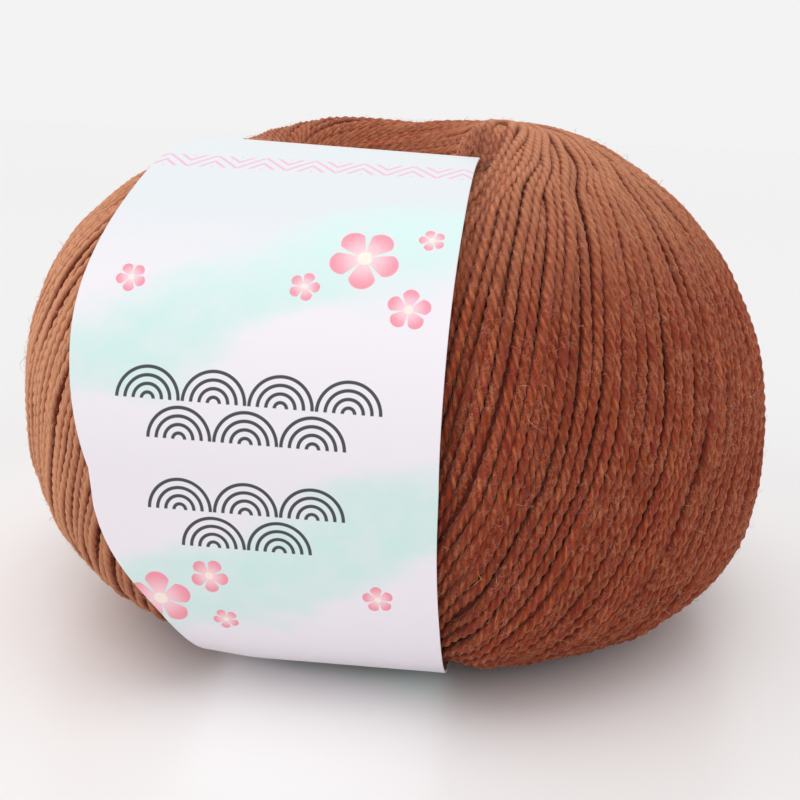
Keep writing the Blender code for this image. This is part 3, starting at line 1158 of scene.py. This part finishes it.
    def _waves(
        self, chance: np.random.Generator, lap: np.ndarray, count: int, lowest: float
    ) -> np.ndarray:
        """Random waves along each turn, mostly between -1 and 1."""
        total = np.zeros((self.turns, len(lap)))
        one_each = (self.turns, 1)
        for order in range(count):
            slowest = (lowest + order) * math.tau / 360.0
            rate = slowest * chance.uniform(*self.wave_range, one_each)
            phase = chance.uniform(0.0, math.tau, one_each)
            total += np.sin(lap[None, :] * rate + phase) / math.sqrt(count)
        return total

    def _sinking(
        self, radius: np.ndarray, up: np.ndarray, turned: np.ndarray
    ) -> tuple[np.ndarray, np.ndarray]:
        """How far each turn goes under its neighbours where there is no room for all.

        Args:
            radius: Radius of the section at each lap angle.
            up: Height of the section there.
            turned: How far round the axis the turns have gone there.

        Returns:
            How far each turn has gone into the second layer, and how far under that one
            too, both from 0 to 1.
        """
        rank = (np.arange(self.turns) * GOLDEN_SHARE + self.first_rank) % 1.0
        rise = np.hypot(np.gradient(radius), np.gradient(up))
        squeeze = rise / np.hypot(rise, radius * np.gradient(turned))
        room = math.tau * radius * squeeze / (self.turns * self.pitch)
        crowd = rank[:, None] - room[None, :]
        deeper = rank[:, None] - self.layer_room * room[None, :]
        return smooth_step(0.0, self.dive_ease, crowd), smooth_step(0.0, self.dive_ease, deeper)

    def _routes(self) -> tuple[np.ndarray, np.ndarray, np.ndarray]:
        """Where every turn runs.

        Returns:
            Points by turn and lap angle with the outward direction at each, how surely the
            band hides each, and how deep each turn has gone under its neighbours.
        """
        chance = np.random.default_rng(self.seed)
        lap = np.arange(self.first_lap, self.last_lap + 0.5 * self.lap_step, self.lap_step)
        radius, up = self.form.section(lap)
        turned = self.form.wound(lap)
        under, below = self._sinking(radius, up, turned)
        sideways = self.wander * self._waves(chance, lap, *self.wander_waves)
        azimuth = self._azimuths(chance, under, lap) + turned[None, :]
        azimuth = azimuth + sideways / np.maximum(radius, self.form.crest_radius)[None, :]
        inset = self.yarn_radius * self.sunk_share
        inset = inset + self.second_layer * under + self.dive_depth * below
        inset = inset + self.depth_spread * self._waves(chance, lap, *self.depth_waves)
        ripple = self.ripple_share * self.depth_spread
        inset = inset + ripple * self._waves(chance, lap, *self.ripple_waves)
        along_radius, along_up = self.form.normal(lap)
        reach = radius[None, :] - inset * along_radius[None, :]
        level = up[None, :] - inset * along_up[None, :]
        points = np.stack((reach * np.cos(azimuth), reach * np.sin(azimuth), level), axis=-1)
        facing = np.stack((along_radius[None, :] * np.cos(azimuth),
                           along_radius[None, :] * np.sin(azimuth),
                           np.broadcast_to(along_up[None, :], azimuth.shape)), axis=-1)
        moved, hidden = self.loop.pressed(self.form.shaped(points), inset)
        placed = self.form.lifted(moved)
        placed[..., 2] = np.maximum(placed[..., 2], self.floor_clear * self.yarn_radius)
        return np.concatenate((placed, facing), axis=-1), hidden, below

    def _resampled(self, route: np.ndarray, hidden: np.ndarray, below: np.ndarray) -> np.ndarray:
        """One turn's route, with points close together only where it is well seen.

        Args:
            route: Points and outward directions of the turn by lap angle.
            hidden: How surely the band hides each.
            below: How deep each has gone under its neighbours.

        Returns:
            The points to keep, from where the turn comes up to where it goes under.
        """
        seen = np.flatnonzero(below < self.gone_under)
        first, last = max(seen[0] - 2, 0), min(seen[-1] + 3, len(route))
        part = route[first:last]
        low = np.where(part[:, 2] < self.low_level, self.low_coarse, 0.0)
        coarse = np.maximum(hidden[first:last], low)
        steps = np.linalg.norm(np.diff(part[:, :3], axis=0), axis=1)
        behind = smooth_step(*self.back_from, part[:, 1])
        wanted = self.fine_step + (self.back_step - self.fine_step) * behind
        wanted = wanted + (self.coarse_step - wanted) * coarse
        cost = np.concatenate(((0.0,), np.cumsum(steps / (0.5 * (wanted[1:] + wanted[:-1])))))
        count = max(int(cost[-1]), self.fewest_points)
        at = np.linspace(0.0, cost[-1], count)
        return np.stack([np.interp(at, cost, part[:, axis]) for axis in range(6)], axis=-1)

    def _rails(self, name: str, routes: list[np.ndarray], numbers: list[int]) -> bpy.types.Object:
        """Edge mesh of some turns' middle lines, with the values that their tubes need."""
        chance = np.random.default_rng(self.seed + 1)
        shares = chance.standard_normal(self.turns)
        marks = chance.uniform(0.0, 1.0, self.turns)
        points = np.concatenate(routes)
        edges = []
        start = 0
        for route in routes:
            edges += [(start + i, start + i + 1) for i in range(len(route) - 1)]
            start += len(route)
        mesh = bpy.data.meshes.new(name)
        mesh.from_pydata(points[:, :3].tolist(), edges, [])
        mark_points(mesh, "facing", points[:, 3:])
        lengths = [len(route) for route in routes]
        thick = np.repeat([1.0 + self.radius_spread * shares[n] for n in numbers], lengths)
        knots = np.arange(0, len(thick) + self.uneven_points, self.uneven_points)
        changes = chance.standard_normal(len(knots))
        thick = thick + self.uneven * np.interp(np.arange(len(thick)), knots, changes)
        mark_points(mesh, "thick", thick * self.yarn_radius)
        mark_points(mesh, "turn", np.repeat([marks[n] for n in numbers], lengths))
        return link_mesh(name, mesh)

    def _ply_tree(self) -> Tree:
        """Geometry tree that lays a tube of twisted plies along every rail."""
        tree = group_tree(
            "GeometryNodeTree",
            "plied_turns",
            {"Geometry": "Geometry", "Lay": "Float", "Valley": "Float", "Finish": "Material"},
            {"Geometry": "Geometry"},
        )
        given = tree.add("NodeGroupInput").outputs
        position = tree.add("GeometryNodeInputPosition").outputs[0]
        index = tree.add("GeometryNodeInputIndex").outputs[0]
        valley = tree.math("LESS_THAN", tree.math("MODULO", index, 2.0), 0.5)
        narrowed = tree.times(valley, tree.math("SUBTRACT", 1.0, given["Valley"]))
        narrowed = tree.math("SUBTRACT", 1.0, narrowed)
        feeds = {"Resolution": 2 * self.plies, "Radius": 1.0}
        circle = tree.add("GeometryNodeCurvePrimitiveCircle", feeds).outputs[0]
        # The plies' valleys, which the wool's finish darkens as painted shade.
        marked = tree.store(circle, "groove", valley)
        around = tree.scaled(position, self.fibre_reach)
        marked = tree.store(marked, "around", around, "FLOAT_VECTOR")
        feeds = {"Geometry": marked, "Position": tree.scaled(position, narrowed)}
        profile = tree.add("GeometryNodeSetPosition", feeds).outputs[0]
        curve = tree.add("GeometryNodeMeshToCurve", {"Mesh": given["Geometry"]}).outputs[0]
        length = tree.add("GeometryNodeSplineParameter").outputs["Length"]
        tilt = tree.times(tree.math("DIVIDE", length, given["Lay"]), -math.tau)
        feeds = {"Curve": curve, "Tilt": tilt}
        railed = tree.add("GeometryNodeSetCurveTilt", feeds).outputs[0]
        railed = tree.store(railed, "centre", position, "FLOAT_VECTOR")
        railed = tree.store(railed, "along", length)
        thick = tree.stored("thick")
        feeds = {"Curve": railed, "Profile Curve": profile, "Scale": thick, "Fill Caps": True}
        tube = tree.add("GeometryNodeCurveToMesh", feeds).outputs[0]
        # How far out each point stands from its rail, which the wool's finish reads for painted
        # shade and painted light.
        away = tree.vector_math("SUBTRACT", position, tree.stored("centre", "FLOAT_VECTOR"))
        feeds = {0: away, 1: tree.stored("facing", "FLOAT_VECTOR")}
        height = tree.add("ShaderNodeVectorMath", feeds, operation="DOT_PRODUCT")
        share = tree.math("DIVIDE", height.outputs["Value"], thick)
        tree.hand_over(tree.store(tube, "height", share), given["Finish"])
        return tree

    def lay_turns(self) -> None:
        """Makes the plied turns, in a few pieces that stand side by side round the ball."""
        points, hidden, below = self._routes()
        kept = [self._resampled(*turn) for turn in zip(points, hidden, below)]
        tree = self._ply_tree()
        finish = self.finish.turns()
        for number, share in enumerate(np.array_split(np.arange(self.turns), self.groups)):
            numbers = [int(n) for n in share]
            rails = self._rails(f"rails_{number}", [kept[n] for n in numbers], numbers)
            values = {"Lay": self.lay, "Valley": self.valley, "Finish": finish}
            mesh = run_tree(rails, tree, values)
            self._keep(link_mesh(f"yarn_turns_{number + 1}", mesh), len(numbers))

    def _keep(self, piece: bpy.types.Object, count: int) -> None:
        """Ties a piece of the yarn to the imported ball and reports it."""
        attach(piece, BODY)
        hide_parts("yarn_ball")
        self.pieces.append(piece)
        piece.data.calc_loop_triangles()
        log.info("%s: %d laid, %d triangles", piece.name, count, len(piece.data.loop_triangles))

    def _skin(self, columns: int, laps: np.ndarray, depth: float) -> bpy.types.Mesh:
        """Closed mesh of the ball's form at an even depth under its surface."""
        radius, up = self.form.section(laps)
        along_radius, along_up = self.form.normal(laps)
        reach, level = radius - depth * along_radius, up - depth * along_up
        spin = np.arange(columns) * math.tau / columns
        azimuth = spin[None, :] + self.form.turned(laps)[:, None]
        points = np.stack((
            reach[:, None] * np.cos(azimuth),
            reach[:, None] * np.sin(azimuth),
            np.broadcast_to(level[:, None], azimuth.shape),
        ), axis=-1)
        moved, _ = self.loop.pressed(self.form.shaped(points), np.full(azimuth.shape, depth))
        places = self.form.lifted(moved).reshape(-1, 3)
        rows = len(laps)
        faces, corners = [], []
        for row in range(rows):
            after = (row + 1) % rows
            for column in range(columns):
                beside = (column + 1) % columns
                faces.append((row * columns + column, row * columns + beside,
                              after * columns + beside, after * columns + column))
                low, high = row / rows, (row + 1) / rows
                left, right = column / columns, (column + 1) / columns
                corners += [(left, low), (right, low), (right, high), (left, high)]
        return smooth_mesh("skin", places, faces, corners)

    def lay_core(self) -> None:
        """Makes the buried winding."""
        outside, inside = self.core_steps
        laps = np.concatenate((np.arange(-90.0, 90.0, outside), np.arange(90.0, 180.0, inside),
                               np.arange(-180.0, -90.0, inside)))
        mesh = self._skin(self.core_columns, laps, self.core_inset)
        mesh.materials.append(self.finish.under())
        self._keep(link_mesh("yarn_core", mesh), 1)

    def _hair_tree(self) -> Tree:
        """Geometry tree that scatters curved hairs over a skin."""
        sizes = ("Density", "Radius", "Least lean", "Most lean", "Shortest", "Longest")
        tree = group_tree(
            "GeometryNodeTree",
            "loose_hairs",
            {"Geometry": "Geometry", **{name: "Float" for name in sizes},
             "Rings": "Int", "Seed": "Int", "Finish": "Material"},
            {"Geometry": "Geometry"},
        )
        given = tree.add("NodeGroupInput").outputs
        feeds = {"Mesh": given["Geometry"], "Seed": given["Seed"],
                 "Density": tree.times(given["Density"], tree.stored("bare"))}
        scatter = tree.add("GeometryNodeDistributePointsOnFaces", feeds).outputs
        shapes = tree.add("GeometryNodeGeometryToInstance")
        for bend, sway in self.hair_bends:
            tree.feed(shapes.inputs[0], self._hair(tree, given, bend, sway))
        aim = scatter["Rotation"]
        lean = self._random(tree, given["Least lean"], given["Most lean"], 2)
        spin = self._random(tree, 0.0, math.tau, 1)
        for axis, angle in (((0.0, 0.0, 1.0), spin), ((1.0, 0.0, 0.0), lean)):
            feeds = {"Axis": axis, "Angle": angle}
            turned = tree.add("FunctionNodeAxisAngleToRotation", feeds).outputs[0]
            feeds = {"Rotation": aim, "Rotate By": turned}
            aim = tree.add("FunctionNodeRotateRotation", feeds, rotation_space="LOCAL").outputs[0]
        placed = tree.add("GeometryNodeInstanceOnPoints", {
            "Points": scatter["Points"], "Instance": shapes.outputs[0], "Pick Instance": True,
            "Rotation": aim,
            "Scale": self._random(tree, given["Shortest"], given["Longest"], 3)}).outputs[0]
        tree.hand_over(placed, given["Finish"])
        return tree

    def _random(self, tree: Tree, low: object, high: object, seed: int) -> Socket:
        """A random number for each hair."""
        node = tree.add("FunctionNodeRandomValue", data_type="FLOAT")
        sockets = {socket.name: socket for socket in node.inputs if socket.enabled}
        for name, value in (("Min", low), ("Max", high), ("Seed", seed)):
            tree.feed(sockets[name], value)
        return next(out for out in node.outputs if out.enabled)

    def _hair(self, tree: Tree, given: object, bend: float, sway: float) -> Socket:
        """One hair a millimetre tall, bent to one side and tapering to its tip."""
        feeds = {"Vertices": 3, "Side Segments": given["Rings"], "Radius Top": 0.0,
                 "Radius Bottom": given["Radius"], "Depth": 1.0 * MM}
        cone = tree.add("GeometryNodeMeshCone", feeds, fill_type="NONE").outputs[0]
        height = tree.parts(tree.add("GeometryNodeInputPosition").outputs[0])[2]
        share = tree.math("DIVIDE", height, 1.0 * MM)
        bent = tree.times(tree.math("POWER", share, 2.0), bend * MM)
        swung = tree.times(tree.math("SINE", tree.times(share, self.hair_sway)), sway * MM)
        drop = tree.times(tree.math("POWER", share, 3.0), self.hair_drop * abs(bend) * MM)
        feeds = {"Geometry": cone, "Offset": tree.triple(bent, swung, drop)}
        return tree.add("GeometryNodeSetPosition", feeds).outputs[0]

    def _bareness(self, places: np.ndarray) -> np.ndarray:
        """How closely hairs stand at each place.

        It is 0 under the band, low down and in the eye, 1 on bare wool, and more than 1 at
        the left and above.
        """
        _, hidden = self.loop.pressed(
            places - np.array((*self.form.centring, self.form.flat_level)),
            np.full(len(places), self.hair_depth))
        level = smooth_step(*self.hair_level, places[:, 2])
        radius = np.hypot(places[:, 0], places[:, 1])
        open_to_air = smooth_step(*self.hair_reach, radius)
        bare = smooth_step(*self.hair_hidden, hidden) * level * open_to_air
        closer = np.maximum(smooth_step(*self.closer_above, places[:, 2]),
                            smooth_step(*self.closer_left, places[:, 0]))
        return bare * (1.0 + self.closer_share * closer)

    def lay_hairs(self) -> None:
        """Makes the loose hairs that stand off the turns."""
        (first, last), (outside, inside) = self.hair_laps, self.hair_steps
        laps = np.concatenate((np.arange(first, 90.0, outside), np.arange(90.0, last, inside),
                               self.hair_closing))
        mesh = self._skin(self.hair_columns, laps, self.hair_depth)
        places = np.array([vertex.co[:] for vertex in mesh.vertices])
        mark_points(mesh, "bare", self._bareness(places))
        tree, finish = self._hair_tree(), self.finish.fuzz()
        for kind in self.hairs:
            values = {
                "Density": kind.density,
                "Radius": kind.radius,
                "Rings": kind.rings,
                "Least lean": math.radians(kind.lean[0]),
                "Most lean": math.radians(kind.lean[1]),
                "Shortest": kind.shortest,
                "Longest": kind.longest,
                "Seed": self.seed + kind.rings,
                "Finish": finish,
            }
            made = run_tree(link_mesh("skin", mesh.copy()), tree, values)
            self._keep(link_mesh(kind.name, made), 1)
        bpy.data.meshes.remove(mesh)


# ---- the paper band ----------------------------------------------------------------------


@dataclass
class PaperBand:
    """The printed band: one thin sheet closed into a loop through the eye."""

    loop: BandLoop
    finish: PaperFinish = field(default_factory=PaperFinish)
    sheet: float = 0.22 * MM
    sunk: float = 0.3 * MM  # of the sheet's face, below the loop's outer face
    corner_lift: float = 0.8 * MM
    station_step: float = 2.0
    strips: int = 26
    pleats: float = 3.0
    pleat_depth: float = 0.85 * MM
    pleat_limits: Pair = (0.15, 0.9)  # of how far the paper is drawn together
    corner_across: Pair = (-7.0 * MM, -15.0 * MM)
    corner_level: Pair = (-0.6, -1.0)  # of the ball's flat level
    sharp_angle: float = math.radians(50.0)
    flat_size: Pair = (36.0 * MM, 160.0 * MM)
    flat_area: float = 0.0044

    def _lines(self) -> tuple[np.ndarray, np.ndarray]:
        """Points of the sheet's outer and inner faces, by station and place across."""
        stations = self.loop.stations(self.station_step)
        out, up = stations["out"], stations["up"]
        along = np.stack((np.roll(out, -1) - np.roll(out, 1),
                          np.roll(up, -1) - np.roll(up, 1)), axis=-1)
        along /= np.linalg.norm(along, axis=1)[:, None]
        normal = np.stack((along[:, 1], -along[:, 0]), axis=-1)
        share = np.linspace(0.0, 1.0, self.strips + 1)
        left, right = stations["left"][:, None], stations["right"][:, None]
        across = left + (right - left) * share[None, :]
        size = self.loop.taper(across)
        middle = self.loop.form.flat_level
        fold = self.pleat_depth * smooth_step(*self.pleat_limits, stations["gathered"])
        fold = fold[:, None] * np.sin(share * self.pleats * math.tau)[None, :]
        faces = []
        face = 0.5 * self.loop.thickness - self.sunk
        for side in (face, face - self.sheet):
            reach = self.loop.tube_centre + (out[:, None] - self.loop.tube_centre) * size
            reach = reach + (side + fold) * normal[:, :1]
            level = up[:, None] * size + (side + fold) * normal[:, 1:]
            low = smooth_step(*self.corner_across, across)
            low = low * smooth_step(*self.corner_level, up[:, None] / middle)
            level = np.maximum(level, face - side - middle) + self.corner_lift * low
            points = (across[..., None] * self.loop.across_axis
                      + reach[..., None] * self.loop.outward_axis)
            points[..., 2] = level
            faces.append(self.loop.form.lifted(points))
        return faces[0], faces[1]

    def _sheet_mesh(self) -> tuple[bpy.types.Mesh, float]:
        """The sheet's mesh and its loop's length in metres.

        Its face has the first finish and its back and cut edges the second. Its UV map runs
        across to the right edge at 1, and along the loop once from 0 to 1.
        """
        outer, inner = self._lines()
        rows, columns = outer.shape[:2]
        steps = np.linalg.norm(np.roll(outer, -1, axis=0) - outer, axis=2).mean(axis=1)
        length = float(steps.sum())
        travelled = np.concatenate(((0.0,), np.cumsum(steps))) / length
        points = np.concatenate((outer.reshape(-1, 3), inner.reshape(-1, 3)))
        back = rows * columns
        breadth = self.loop.stations(self.station_step)["breadth"] / self.flat_size[0]
        faces, corners, kinds = [], [], []
        for row in range(rows):
            after = (row + 1) % rows
            low, high = travelled[row], travelled[row + 1]
            wide, wide_after = breadth[row], breadth[after]
            for column in range(columns - 1):
                shares = 1.0 - column / (columns - 1), 1.0 - (column + 1) / (columns - 1)
                a, b = row * columns + column, row * columns + column + 1
                c, d = after * columns + column + 1, after * columns + column
                ring = [(1.0 - shares[0] * wide, low), (1.0 - shares[1] * wide, low),
                        (1.0 - shares[1] * wide_after, high),
                        (1.0 - shares[0] * wide_after, high)]
                faces += [(a, b, c, d), (back + b, back + a, back + d, back + c)]
                corners += ring + [ring[1], ring[0], ring[3], ring[2]]
                kinds += [0, 1]
            for column, flip in ((0, True), (columns - 1, False)):
                a, d = row * columns + column, after * columns + column
                face = (a, back + a, back + d, d)
                faces.append(face[::-1] if flip else face)
                place = 1.0 if column else 1.0 - wide
                ring = [(place, low), (place, low), (place, high), (place, high)]
                corners += ring[::-1] if flip else ring
                kinds.append(1)
        mesh = smooth_mesh("paper_band_sheet", points, faces, corners)
        mesh.materials.append(self.finish.printed(self.flat_size[0], length))
        mesh.materials.append(self.finish.plain())
        mesh.polygons.foreach_set("material_index", kinds)
        mesh.set_sharp_from_angle(angle=self.sharp_angle)
        return mesh, length

    def make(self) -> None:
        mesh, length = self._sheet_mesh()
        band = link_mesh("paper_band_sheet", mesh)
        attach(band, BODY)
        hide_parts("paper_band")
        log.info("%s: loop of %.1f mm, %d faces", band.name, length / MM, len(mesh.polygons))


# ---- studio ------------------------------------------------------------------------------


@dataclass(frozen=True)
class Lamp:
    """A large far lamp: its light, its width, and where it stands.

    Its azimuth is 0 behind the camera and rises to the right.
    """

    name: str
    power: float
    width: float
    azimuth: float
    elevation: float

    def hang(self) -> None:
        """Makes the lamp."""
        data = bpy.data.lights.new(self.name, "SUN")
        data.energy = self.power
        data.angle = self.width
        lamp = bpy.data.objects.new(self.name, data)
        level = math.cos(self.elevation)
        towards = Vector((level * math.sin(self.azimuth), -level * math.cos(self.azimuth),
                          math.sin(self.elevation)))
        lamp.rotation_euler = towards.to_track_quat("Z", "Y").to_euler()
        bpy.context.scene.collection.objects.link(lamp)


@dataclass(frozen=True)
class Studio:
    """Pale floor, soft lights and the camera."""

    aim: tuple[float, float, float] = (0.0, 0.0, 24.0 * MM)
    distance: float = 140.8 * MM
    elevation: float = math.radians(14.0)
    roll: float = math.radians(2.2)
    focal: float = 1119.7  # of an 800-pixel picture, in pixels
    picture: float = 800.0
    sensor: float = 36.0  # in millimetres
    ball_at: Pair = (397.2, 384.0)
    floor_far: Colour = (0.715, 0.707, 0.707, 1.0)
    # Painted light, tinted warm, that pales the floor close round the ball, and a painted shadow
    # under its foot.
    floor_painted_light: Colour = (0.885, 0.862, 0.862, 1.0)
    floor_painted_shadow: Colour = (0.30, 0.22, 0.21, 1.0)
    floor_radius: float = 4.0
    floor_sides: int = 96
    floor_roughness: float = 0.30
    # Distances from the middle where a tone of the floor starts to show, and shows in full: the far
    # tone past the painted light, and the painted shadow.
    painted_light_limits: Pair = (38.0 * MM, 85.0 * MM)
    under_painted_shadow_limits: Pair = (33.0 * MM, 23.0 * MM)
    backdrop: float = 0.895
    room_light: float = 1.0
    lamps: tuple[Lamp, ...] = (
        Lamp("key", 0.10, math.radians(60.0), math.radians(-16.0), math.radians(36.0)),
        Lamp("side", 0.62, math.radians(70.0), math.radians(-92.0), math.radians(32.0)),
        Lamp("top", 0.42, math.radians(40.0), math.radians(0.0), math.radians(84.0)),
    )

    def place_camera(self) -> None:
        """Makes the camera and hands it to the scene."""
        forward = Vector((0.0, math.cos(self.elevation), -math.sin(self.elevation)))
        up = Vector((0.0, math.sin(self.elevation), math.cos(self.elevation)))
        right = Vector((1.0, 0.0, 0.0))
        right, up = (
            right * math.cos(self.roll) + up * math.sin(self.roll),
            up * math.cos(self.roll) - right * math.sin(self.roll),
        )
        scale = self.distance / self.focal
        sideways = (self.ball_at[0] - 0.5 * self.picture) * scale
        upwards = (0.5 * self.picture - self.ball_at[1]) * scale
        aim = Vector(self.aim) - right * sideways - up * upwards
        data = bpy.data.cameras.new("camera")
        data.sensor_width = self.sensor
        data.lens = data.sensor_width * self.focal / self.picture
        data.clip_start = 1.0 * MM
        camera = bpy.data.objects.new("camera", data)
        axes = Matrix((right, up, -forward)).transposed()
        camera.matrix_world = Matrix.Translation(aim - forward * self.distance) @ axes.to_4x4()
        bpy.context.scene.collection.objects.link(camera)
        bpy.context.scene.camera = camera
        log.info("camera: %.1f mm lens", data.lens)

    def lay_floor(self) -> None:
        """Makes the floor: painted light makes it palest close round the ball, and a painted shadow
        makes it dark under its foot.
        """
        model = bmesh.new()
        bmesh.ops.create_circle(
            model, cap_ends=True, segments=self.floor_sides, radius=self.floor_radius)
        mesh = bpy.data.meshes.new("floor")
        model.to_mesh(mesh)
        model.free()
        made, tree, shader = principled("floor_finish", self.floor_roughness)
        reach = tree.length(tree.object_place())
        # Painted light: the floor is paler close round the ball.
        even = tree.blend(tree.ramp(reach, *self.painted_light_limits), self.floor_painted_light, self.floor_far)
        # Painted shadow under the ball's foot.
        tone = tree.blend(tree.ramp(reach, *self.under_painted_shadow_limits), even, self.floor_painted_shadow)
        tree.feed(shader.inputs["Base Color"], tone)
        mesh.materials.append(made)
        link_mesh("floor", mesh)

    def set_lights(self) -> None:
        """Makes the large soft lamps and the even light of the room."""
        world = bpy.data.worlds.new("room")
        world.use_nodes = True
        tree = Tree(world.node_tree)
        rays = tree.add("ShaderNodeLightPath").outputs
        seen = tree.math("MAXIMUM", rays["Is Camera Ray"], rays["Is Glossy Ray"])
        strength = tree.math("MULTIPLY_ADD", seen, self.backdrop - self.room_light,
                             self.room_light)
        background = world.node_tree.nodes["Background"]
        background.inputs["Color"].default_value = (1.0, 1.0, 1.0, 1.0)
        tree.feed(background.inputs["Strength"], strength)
        bpy.context.scene.world = world
        for lamp in self.lamps:
            lamp.hang()
        bpy.context.scene.view_settings.view_transform = "Standard"


def main() -> None:
    """Builds every piece of the ball and the studio."""
    logging.basicConfig(level=logging.INFO, format="%(message)s")
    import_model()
    studio = Studio()
    studio.place_camera()
    form = BallForm()
    loop = BandLoop(form)
    yarn = WoundYarn(form, loop)
    yarn.lay_core()
    yarn.lay_turns()
    yarn.lay_hairs()
    PaperBand(loop).make()
    studio.lay_floor()
    studio.set_lights()


if __name__ == "__main__":
    main()
